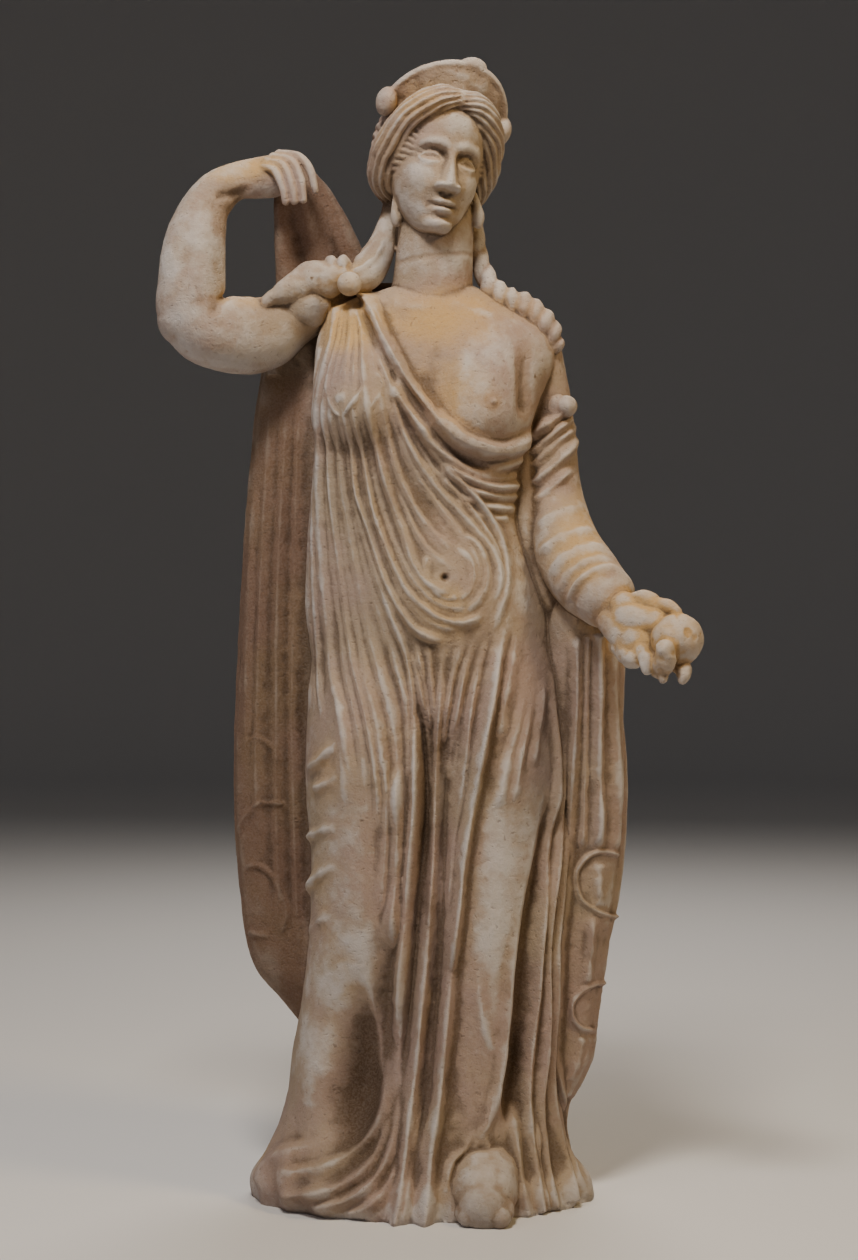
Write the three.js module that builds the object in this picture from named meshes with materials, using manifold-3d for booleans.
// Terracotta figurine of a standing draped woman, one fired and moulded piece.
// Millimetres, +Z up. The figure faces -Y, and her left arm, with the fruit, is on the +X side.
// She is modelled about the upright axis of her weight, and then set so that the origin is the
// middle of her whole width and depth, on the ground.
import * as THREE from 'three';
import { mergeVertices } from 'three/addons/utils/BufferGeometryUtils.js';
import { SimplifyModifier } from 'three/addons/modifiers/SimplifyModifier.js';
import Module from 'manifold-3d';

// Driving sizes of the whole figure
const PLACE = new THREE.Vector3(2.7, 6.2, 0);   // where the axis of her weight stands
const NECK_BASE = 300;                          // where the chest ends and the neck begins
const HEAD_PLACE = new THREE.Vector3(1.8, -1, 341.5);
const HEAD_TURN = THREE.MathUtils.degToRad(20); // towards her left
const HEAD_LEAN = THREE.MathUtils.degToRad(10);
const FRUIT_RADIUS = 8.4;
const SLEEVE_RINGS = 5;

// How finely the draped forms are cut: rows, columns on the front and the back, and the corners
// that are kept where the folds need them
const TRUNK_CUT = { rows: 150, front: 110, back: 8, corners: 1720 };
const MANTLE_CUT = { rows: 40, front: 16, back: 60, corners: 400 };
const PANEL_CUT = { rows: 40, front: 40, back: 12, corners: 170 };
const WELD = 0.02;                              // shorter edges are closed where forms are joined

// Trunk under the dress: height, left edge, right edge, front, back, squareness of the section
const TRUNK = [
  [0, -58, 54, -47, 34, 1.8],
  [6, -58, 52, -46, 34, 1.8],
  [14, -53, 45, -42, 33, 1.9],
  [28, -48.5, 42.5, -38, 32, 2.0],
  [45, -46, 44, -34, 31, 2.1],
  [62, -43, 45, -32, 31, 2.1],
  [85, -39.5, 44.5, -31, 31, 2.1],
  [106, -39, 44, -30, 31, 2.1],
  [135, -41, 44.5, -29, 32, 2.1],
  [160, -41, 44.5, -28, 33, 2.1],
  [175, -39, 44, -27, 33, 2.1],
  [195, -41, 39.5, -25, 31, 2.2],
  [212, -40.5, 32.5, -23, 27, 2.2],
  [228, -39.5, 29, -22, 24, 2.2],
  [245, -38, 31, -22, 22, 2.3],
  [262, -38, 37, -21, 21, 2.4],
  [276, -38, 42, -19, 20, 2.4],
  [286, -36, 39, -16, 19, 2.2],
  [294, -30, 26, -13, 17, 2.0],
  [NECK_BASE, -14, 16, -9, 13, 2.0],
];

// Mantle down the back: height, left edge, right edge, front, back, squareness
const MANTLE = [
  [-2, -40, 46, 6, 40, 2.1],
  [26, -40, 42, 7, 38, 2.2],
  [46, -44, 50, 6, 36, 2.3],
  [59, -52, 54, 5, 36, 2.4],
  [70, -59.5, 57, 4, 36, 2.5],
  [84, -64, 59, 3, 36, 2.6],
  [110, -66, 62, 2, 36, 2.6],
  [135, -67, 63.5, 1, 37, 2.6],
  [165, -66.5, 63, 1, 38, 2.6],
  [182, -65.5, 60, 1, 37, 2.6],
  [198, -64.5, 50, 2, 34, 2.6],
  [225, -62.5, 44, 3, 30, 2.6],
  [250, -60, 42, 4, 27, 2.6],
  [272, -57.5, 41, 4, 25, 2.5],
  [286, -52, 37, 5, 23, 2.3],
  [296, -46, 28, 6, 20, 2.2],
  [303, -30, 14, 8, 16, 2.0],
];

// Sheet drawn up to the raised hand: height, left edge, right edge, front, back, squareness
const RAISED_SHEET = [
  [272, -56, -2, 6, 19, 2.6],
  [285, -53.5, -8, 6, 18, 2.6],
  [298, -52, -15, 6, 17, 2.8],
  [310, -52, -20, 6, 16, 2.8],
  [322, -52.5, -26, 5, 15, 2.8],
  [334, -53, -33, 4, 14, 2.6],
  [343, -51, -40, 4, 12, 2.4],
];

// Panel that hangs from the left forearm: height, left edge, right edge, front, back, squareness
const ARM_PANEL = [
  [-2, 20, 51, -14, 28, 2.2],
  [16, 22, 45, -12, 27, 2.3],
  [26, 24, 44.5, -12, 26, 2.4],
  [36, 26, 52.5, -12, 25, 2.6],
  [46, 28, 55.5, -12, 24, 2.6],
  [60, 30, 57, -12, 24, 2.6],
  [80, 32, 59.5, -12, 24, 2.6],
  [98, 34, 63.5, -12, 24, 2.6],
  [128, 36, 65.5, -13, 24, 2.6],
  [160, 37, 65, -15, 23, 2.6],
  [186, 37, 64.5, -18, 20, 2.6],
  [198, 40, 58, -18, 14, 2.4],
];

// Folds and hollows cut into the front, as strokes [x, z] with a half width and a height
const stroke = (half, height, path) => ({ half, height, path });
const SHOULDER_FOLDS = [
  stroke(4.0, 2.4, [[-32, 286], [-35, 245], [-35.5, 200], [-34.5, 172]]),
  stroke(3.2, 2.0, [[-28, 286], [-28, 245], [-24, 206], [-16, 172]]),
  stroke(3.0, 2.2, [[-25, 284], [-21, 248], [-12.5, 209], [2, 187], [18.5, 190]]),
  stroke(3.0, 2.0, [[-21.5, 284], [-14, 245], [-5, 211], [6, 195]]),
  stroke(2.8, 2.0, [[-19, 280], [-8, 246], [3.5, 226], [17, 210], [21.5, 198], [17.5, 179]]),
  stroke(2.8, 1.8, [[-10, 262], [3, 240], [16, 228], [28, 227]]),
];
const ROLLED_HEM = [
  stroke(4.2, 4.2, [
    [-24, 293], [-18, 282], [-8, 264], [2, 249], [13, 241.5], [24, 242], [36, 249], [43, 255],
  ]),
];
const SKIRT_FOLDS = [
  stroke(3.6, 2.2, [[-30, 178], [-21, 150], [-17, 112]]),
  stroke(3.2, 2.2, [[-20, 180], [-12, 150], [-10, 128]]),
  stroke(4.4, 4.6, [[-10, 178], [-4, 150], [-4.5, 128], [-8.5, 85], [-11, 50]]),
  stroke(3.8, 4.6, [[2.5, 160], [1.5, 114], [-4.5, 41], [-9, 0]]),
  stroke(4.4, 6.0, [[21, 181], [13.5, 136], [6.5, 79], [1.5, 28], [-1.5, 0]]),
  stroke(3.0, 2.4, [[12, 180], [6, 148], [3.5, 112]]),
  stroke(3.4, 3.4, [[37.5, 165], [38, 135], [33.5, 71], [31.5, 16], [34, 0]]),
  stroke(3.2, 3.0, [[43, 170], [43, 130], [39, 70], [38, 20], [41, 0]]),
  stroke(3.4, 2.0, [[29, 165], [24, 149], [20, 134]]),
  stroke(3.4, 4.0, [[14, 62], [17, 34], [24, 14]]),
];
const HEM_SWIRLS = [
  stroke(4.0, 3.0, [[-43, 18], [-32, 14], [-20, 20], [-14, 40]]),
  stroke(4.0, 3.0, [[-42, 6], [-27, 7], [-16, 13], [-9, 28]]),
];
const HOLLOWS = [
  stroke(12, 9.0, [[-20, 72], [-23, 50], [-27, 30]]),
  stroke(7, 4.5, [[35, 108], [28, 78], [25, 40], [24, 20]]),
  stroke(8, 3.5, [[2, 166], [3.5, 142], [3.5, 116]]),
];
const MANTLE_FOLDS = [
  stroke(5.5, 3.0, [[-46, 285], [-50, 220], [-54, 150], [-54, 80]]),
  stroke(6.5, 4.0, [[-38, 285], [-33, 220], [-36, 140], [-38, 60], [-36, 20]]),
  stroke(6.5, 4.5, [[-26, 290], [-14, 220], [-16, 140], [-18, 60], [-20, 10]]),
  stroke(6.0, 4.0, [[-12, 295], [6, 220], [4, 140], [2, 60], [0, 10]]),
  stroke(6.5, 4.5, [[0, 295], [24, 225], [23, 150], [20, 70], [18, 10]]),
  stroke(6.0, 4.0, [[18, 290], [38, 225], [41, 160], [37, 80], [33, 12]]),
  stroke(5.0, 3.0, [[50, 190], [54, 150], [52, 90], [46, 50]]),
];

// Rounded forms of the body under the cloth: centre [x, z], half sizes, swell
const swell = (x, z, halfX, halfZ, height) => ({ x, z, halfX, halfZ, height });
const BODY_FORMS = [
  swell(-21.5, 262, 16, 17, 10),    // right breast, covered
  swell(18, 258, 16, 17, 11.5),     // left breast, bare
  swell(5, 199, 33, 30, 5),         // belly
  swell(-22, 140, 21, 58, 8),       // right thigh, carried forward
  swell(-25, 92, 19, 26, 9),        // right knee
  swell(26, 130, 24, 62, 5),        // left thigh
  swell(18, 60, 17, 48, 4),         // left shin
  swell(-36, 10, 26, 13, 4),        // cloth over the right foot
];

const AXIS = new THREE.Vector3(0, 0, 1);
const DEPTH_AXIS = new THREE.Vector3(0, 1, 0);
const WIDTH_AXIS = new THREE.Vector3(1, 0, 0);

const GROUND_WIDTH = 300;            // what is cut off level below
const GROUND_DEPTH = 60;

// The rounded end of a limb, as shares of its radius there
const TIP_REACH = 0.8;
const LAST_RING_REACH = 0.55;
const LAST_RING_SIZE = 0.72;
const RIPPLE_FREE_END = 0.05;        // share of a limb's length that has no ripple

// The value rows of a table at s, on a smooth curve through the rows.
function through(rows, s) {
  const last = rows.length - 1;
  const at = THREE.MathUtils.clamp(s, rows[0][0], rows[last][0]);
  let i = 0;
  while (i < last - 1 && rows[i + 1][0] < at) i += 1;
  const span = rows[i + 1][0] - rows[i][0];
  const t = (at - rows[i][0]) / span;
  const slope = (k, column) => {
    const a = Math.max(k - 1, 0);
    const b = Math.min(k + 1, last);
    return (rows[b][column] - rows[a][column]) / (rows[b][0] - rows[a][0]);
  };
  const [t2, t3] = [t * t, t * t * t];
  return rows[i].slice(1).map((value, k) => (
    (2 * t3 - 3 * t2 + 1) * value + (t3 - 2 * t2 + t) * span * slope(i, k + 1)
    + (3 * t2 - 2 * t3) * rows[i + 1][k + 1] + (t3 - t2) * span * slope(i + 1, k + 1)
  ));
}

// A bell that is 1 at the middle of a stroke and 0 from its half width on.
const bell = (r) => (r < 1 ? (1 - r * r) ** 2 : 0);

function distanceToPath(x, z, path) {
  let best = Infinity;
  for (let i = 0; i + 1 < path.length; i += 1) {
    const [ax, az] = path[i];
    const [dx, dz] = [path[i + 1][0] - ax, path[i + 1][1] - az];
    const t = THREE.MathUtils.clamp(((x - ax) * dx + (z - az) * dz) / (dx * dx + dz * dz), 0, 1);
    best = Math.min(best, Math.hypot(x - ax - t * dx, z - az - t * dz));
  }
  return best;
}

// The highest of a set of strokes at a point of the surface.
const carved = (strokes, x, z) => strokes.reduce(
  (top, s) => Math.max(top, s.height * bell(distanceToPath(x, z, s.path) / s.half)), 0);

const bodyForm = (x, z) => BODY_FORMS.reduce(
  (sum, f) => sum + f.height * bell(Math.hypot((x - f.x) / f.halfX, (z - f.z) / f.halfZ)), 0);

function frontRelief(x, z) {
  const folds = carved([...SHOULDER_FOLDS, ...SKIRT_FOLDS, ...HEM_SWIRLS], x, z);
  return bodyForm(x, z) + Math.max(folds, carved(ROLLED_HEM, x, z)) - carved(HOLLOWS, x, z);
}

// A closed solid from rings of points: point(i, j) gives ring j's i-th point, and both ends are
// closed on the middle of their ring, or on a tip of their own.
function ringSolid(around, rings, point, tips = []) {
  const positions = [];
  for (let j = 0; j < rings; j += 1) {
    for (let i = 0; i < around; i += 1) positions.push(...point(i, j).toArray());
  }
  const middle = (j) => {
    const sum = new THREE.Vector3();
    for (let i = 0; i < around; i += 1) {
      sum.add(new THREE.Vector3().fromArray(positions, 3 * (j * around + i)));
    }
    return sum.divideScalar(around);
  };
  const ends = [tips[0] ?? middle(0), tips[1] ?? middle(rings - 1)];
  ends.forEach((end) => positions.push(...end.toArray()));
  const index = [];
  for (let i = 0; i < around; i += 1) {
    const next = (i + 1) % around;
    for (let j = 0; j + 1 < rings; j += 1) {
      const [a, b] = [j * around + i, j * around + next];
      index.push(a, b, b + around, a, b + around, a + around);
    }
    index.push(rings * around, next, i);
    index.push(rings * around + 1, (rings - 1) * around + i, (rings - 1) * around + next);
  }
  const geometry = new THREE.BufferGeometry();
  geometry.setAttribute('position', new THREE.Float32BufferAttribute(positions, 3));
  geometry.setIndex(index);
  return geometry;
}

// An upright body from a table of sections. Each section is a rounded oblong, with front columns
// spread over its width and back columns behind, pushed out along its normal by relief.
function uprightBody(table, { rows, front, back }, relief) {
  const [low, high] = [table[0][0], table[table.length - 1][0]];
  return ringSolid(front + back, rows, (i, j) => {
    const z = low + (high - low) * (j / (rows - 1));
    const [left, right, near, far, square] = through(table, z);
    const onFront = i < front;
    const t = onFront ? -1 + (2 * i) / front : 1 - (2 * (i - front)) / back;
    const across = 0.5 * t + 0.5 * Math.sin((Math.PI / 2) * t);
    const mid = near + (far - near) * 0.5;
    const deep = onFront ? near - mid : far - mid;
    const rise = (1 - Math.abs(across) ** square) ** (1 / square);
    const half = (right - left) / 2;
    const place = new THREE.Vector3((left + right) / 2 + half * across, mid + deep * rise, z);
    const normal = new THREE.Vector3(
      (Math.sign(across) * Math.abs(across) ** (square - 1)) / half,
      (Math.sign(deep) * rise ** (square - 1)) / Math.abs(deep), 0).normalize();
    return place.addScaledVector(normal, relief(place.x, z, onFront, Math.abs(normal.y)));
  });
}

// A rounded limb along a smooth path of [x, y, z, radius] rows. flat narrows it along the
// given direction, and ripple adds rings of cloth.
function limb(rows, { sides = 10, steps = 12, flat = 1, along = AXIS, ripple = 0 } = {}) {
  const curve = new THREE.CatmullRomCurve3(rows.map(([x, y, z]) => new THREE.Vector3(x, y, z)));
  const radius = (t) => through(rows.map((row, k) => [k / (rows.length - 1), row[3]]), t)[0];
  const tips = [0, 1].map((t) => curve.getPoint(t).addScaledVector(
    curve.getTangent(t), (t ? TIP_REACH : -TIP_REACH) * radius(t)));
  return ringSolid(sides, steps + 2, (i, j) => {
    const inner = THREE.MathUtils.clamp((j - 1) / (steps - 1), 0, 1);
    const end = j === 0 ? -1 : Number(j === steps + 1);
    const tangent = curve.getTangent(inner);
    const centre = curve.getPoint(inner).addScaledVector(tangent, end * LAST_RING_REACH * radius(inner));
    const side = new THREE.Vector3().crossVectors(along, tangent).normalize();
    const up = new THREE.Vector3().crossVectors(tangent, side).normalize();
    const angle = (2 * Math.PI * i) / sides;
    const wave = Math.sin(2 * Math.PI * SLEEVE_RINGS * inner) * Number(inner > RIPPLE_FREE_END);
    const size = radius(inner) * (end ? LAST_RING_SIZE : 1) * (1 + ripple * wave);
    return centre.addScaledVector(side, size * Math.cos(angle))
      .addScaledVector(up, size * flat * Math.sin(angle));
  }, tips);
}

// The same closed surface with only so many corners, kept where its form needs them.
function spare(geometry, corners) {
  return new SimplifyModifier().modify(geometry, geometry.attributes.position.count - corners);
}

function ball(x, y, z, rx, ry = rx, rz = rx, detail = 10) {
  return new THREE.SphereGeometry(1, detail, Math.round(detail * 0.7)).scale(rx, ry, rz).translate(x, y, z);
}

function trunk() {
  return uprightBody(TRUNK, TRUNK_CUT, (x, z, onFront, facing) => {
    const lift = onFront ? frontRelief(x, z) : 0;
    return lift * THREE.MathUtils.smoothstep(facing, 0.05, 0.6);
  });
}

function mantle() {
  return uprightBody(MANTLE, MANTLE_CUT, (x, z, onFront, facing) => (
    (onFront ? 0 : carved(MANTLE_FOLDS, x, z)) * THREE.MathUtils.smoothstep(facing, 0.1, 0.7)));
}

function raisedSheet() {
  return uprightBody(RAISED_SHEET, { rows: 7, front: 7, back: 5 }, (x, z, onFront, facing) => (
    facing * Math.cos(x * 0.55)));
}

function armPanel() {
  const pleat = (x) => 1.6 * Math.cos(((x - 63) * 2 * Math.PI) / 7.5);
  return uprightBody(ARM_PANEL, PANEL_CUT, (x, z, onFront, facing) => (onFront ? pleat(x) * facing : 0));
}

function rightArm() {
  const arm = limb([
    [-30, 2, 284, 13], [-44, 1, 283, 13], [-60, -2, 283, 12.8], [-74, -5, 286, 12], [-79, -6, 296, 11.8],
    [-78, -5, 309, 10.8], [-74.5, -2, 321.5, 9.8], [-70, 1, 330.5, 8.4], [-63, 3, 337, 6.6],
    [-54.5, 4, 339, 6.6], [-47, 4, 339.5, 6.2],
  ], { sides: 10, steps: 14, along: DEPTH_AXIS });
  const fingers = [0, 1, 2, 3].map((k) => limb([
    [-49.5 + 3.6 * k, -0.5, 343, 2.5], [-48.5 + 3.7 * k, -4, 337.5, 2.4], [-47.5 + 3.4 * k, -3.4, 331, 2.1],
  ], { sides: 5, steps: 3, along: WIDTH_AXIS }));
  return [arm, ...fingers];
}

function leftArm() {
  const sleeve = limb([
    [34, 3, 281, 9.4], [36.8, 4, 266, 8.8], [38, 5, 250, 9.8], [38.8, 5, 235, 11], [41.5, 1, 222, 12],
    [46.5, -8, 211.5, 12.2], [52.5, -18, 202.5, 11.2], [57, -25, 197, 9.4],
  ], { sides: 11, steps: 14, ripple: 0.05, along: DEPTH_AXIS });
  const hand = limb([
    [55, -20, 199, 7.4], [59.5, -30, 194.5, 6.6], [63, -37, 188, 7.6], [66.5, -43, 181.5, 7.6],
  ], { sides: 8, steps: 5, flat: 0.76 });
  const thumb = limb(
    [[64, -36, 193, 3], [70, -42, 195, 2.8], [75.5, -46, 192.5, 2.4]], { sides: 6, steps: 4 });
  const fingers = [0, 1, 2].map((k) => limb([
    [65 + 4.6 * k, -42, 179 - 1.2 * k, 3], [67.5 + 4.4 * k, -47, 173 - 0.7 * k, 2.8],
  ], { sides: 6, steps: 3 }));
  const fruit = ball(76.5, -46, 183.5, FRUIT_RADIUS, FRUIT_RADIUS, FRUIT_RADIUS, 11);
  const button = ball(45.5, -2, 260, 4, 4, 4, 7);
  return [sleeve, hand, thumb, ...fingers, fruit, button];
}

// The head, turned to her left and leaning the same way, in a frame of its own:
// half width, front depth and back depth at heights measured from its middle.
const HEAD = [
  [-25, 5, 5, -15, -4, 2],
  [-22.5, 9, 9, -17.5, 4, 2.1],
  [-17, 12.5, 12.5, -18.2, 9, 2.1],
  [-9, 14.6, 14.6, -18.2, 14, 2.1],
  [0, 15.8, 15.8, -18, 18, 2.1],
  [10, 16, 16, -18.4, 20, 2.1],
  [18, 13.5, 13.5, -15, 18, 2.0],
  [23, 8, 8, -8, 12, 2.0],
].map(([z, left, right, near, far, square]) => [z, -left, right, near, far, square]);

function head() {
  const nose = (x, z) => 4.2 * bell(Math.hypot(x / 4.2, (z + 6) / (z > -6 ? 11 : 4)));
  const brow = (x, z) => -1.5 * bell(Math.hypot((Math.abs(x) - 6.5) / 5, (z - 0.5) / 4));
  const lips = (x, z) => 1.2 * bell(Math.hypot(x / 5.5, (z + 14.2) / 2.6));
  const chin = (x, z) => 1.6 * bell(Math.hypot(x / 6, (z + 21) / 4));
  const skull = uprightBody(HEAD, { rows: 12, front: 13, back: 3 }, (x, z, onFront) => (
    onFront ? nose(x, z) + brow(x, z) + lips(x, z) + chin(x, z) : 0));
  const hair = ball(-0.6, 4.5, 5.5, 19.6, 20, 20, 12);
  const sideHair = [-1, 1].map((s) => limb([
    [3 * s, -16, 19, 4.2], [11 * s, -13, 15, 5], [16 * s, -5.5, 6, 5], [15.6 * s, 3, -4, 4.6],
    [11 * s, 12, -9, 5],
  ], { sides: 6, steps: 6 }));
  const band = limb([
    [-20, -1, 15, 1.8], [-17, -4.5, 20.5, 2.3], [-9.5, -7, 25.5, 2.6], [0, -8, 27.5, 2.8],
    [9, -7, 25.5, 2.6], [16, -4.5, 20, 2.3], [19, -1, 14, 1.8],
  ], { sides: 6, steps: 10, flat: 2.1, along: AXIS });
  const knobs = [-1, 1].map((s) => ball(21 * s + 0.6, -3, 17.5 - s, 3.7, 3.7, 3.7, 8));
  const bun = [ball(1.5, 3, 28, 6.5, 6, 5, 8), ball(0, 22, 2, 8.5, 7, 7.5, 10)];
  const earrings = [-1, 1].map((s) => limb(
    [[15.4 * s, 1, -9, 2], [15.6 * s, 0.5, -14, 2.6], [15.6 * s, 0.5, -18, 1.6]], { sides: 5, steps: 3 }));
  const turn = new THREE.Matrix4().makeRotationFromEuler(new THREE.Euler(0, HEAD_LEAN, HEAD_TURN, 'XYZ'));
  turn.setPosition(HEAD_PLACE);
  return [skull, hair, ...sideHair, band, ...knobs, ...bun, ...earrings]
    .map((part) => part.applyMatrix4(turn));
}

function neckAndHair() {
  const neck = limb([[0, 4, 287, 17], [1, 2, 299, 13.8], [1.8, 1, 311, 12.8], [2.4, 2, 324, 12.4]],
    { sides: 12, steps: 4, along: DEPTH_AXIS });
  const veil = limb(
    [[-9, 6, 329, 4], [-10.5, 4, 318, 4.8], [-15, -1, 307.5, 5.4], [-26, -7, 300.5, 4.8]],
    { sides: 6, steps: 5 });
  const lock = limb([
    [14.5, 7, 316, 3], [17.5, 4, 306, 3.4], [24.5, 0, 299, 3.6], [33, -2, 293.5, 3.4], [39.5, -3, 286, 3]
  ], { sides: 5, steps: 12, ripple: 0.14 });
  const brooch = [ball(-26.5, -13.5, 294.5, 3.8, 3.8, 3.8, 8), ball(-29, -7, 300, 5.4, 6, 4.4, 8)];
  return [neck, veil, lock, ...brooch];
}

function frontFoot() {
  return limb([[17, -30, 9, 11], [16.5, -42, 7.5, 10.5], [15.5, -50, 5.2, 7]],
    { sides: 10, steps: 5, flat: 0.95, along: AXIS });
}

// Joins closed surfaces into one solid and cuts it off level with the ground.
async function fuse(geometries) {
  const wasm = await Module();
  wasm.setup();
  const solid = (geometry) => {
    const shell = geometry.clone();
    shell.deleteAttribute('normal');
    shell.deleteAttribute('uv');
    const merged = mergeVertices(shell, 1e-4);
    return new wasm.Manifold(new wasm.Mesh({
      numProp: 3,
      vertProperties: new Float32Array(merged.attributes.position.array),
      triVerts: new Uint32Array(merged.index.array),
      tolerance: WELD,
    }));
  };
  const ground = new THREE.BoxGeometry(GROUND_WIDTH, GROUND_WIDTH, GROUND_DEPTH)
    .translate(0, 0, -GROUND_DEPTH / 2);
  const whole = geometries.map(solid).reduce((sum, next) => sum.add(next)).subtract(solid(ground));
  const mesh = whole.getMesh();
  const geometry = new THREE.BufferGeometry();
  geometry.setAttribute('position', new THREE.BufferAttribute(new Float32Array(mesh.vertProperties), 3));
  geometry.setIndex(new THREE.BufferAttribute(new Uint32Array(mesh.triVerts), 1));
  geometry.computeVertexNormals();
  return geometry;
}

const terracotta = new THREE.MeshStandardMaterial({ color: 0xa8866b, roughness: 0.85, metalness: 0 });
const figurine = new THREE.Mesh(await fuse([
  await spare(trunk(), TRUNK_CUT.corners), await spare(mantle(), MANTLE_CUT.corners), raisedSheet(),
  await spare(armPanel(), PANEL_CUT.corners), ...rightArm(), ...leftArm(), ...head(),
  ...neckAndHair(), frontFoot(),
]), terracotta);
figurine.name = 'figurine';
figurine.position.copy(PLACE);

const group = new THREE.Group();
group.add(figurine);
export default group;
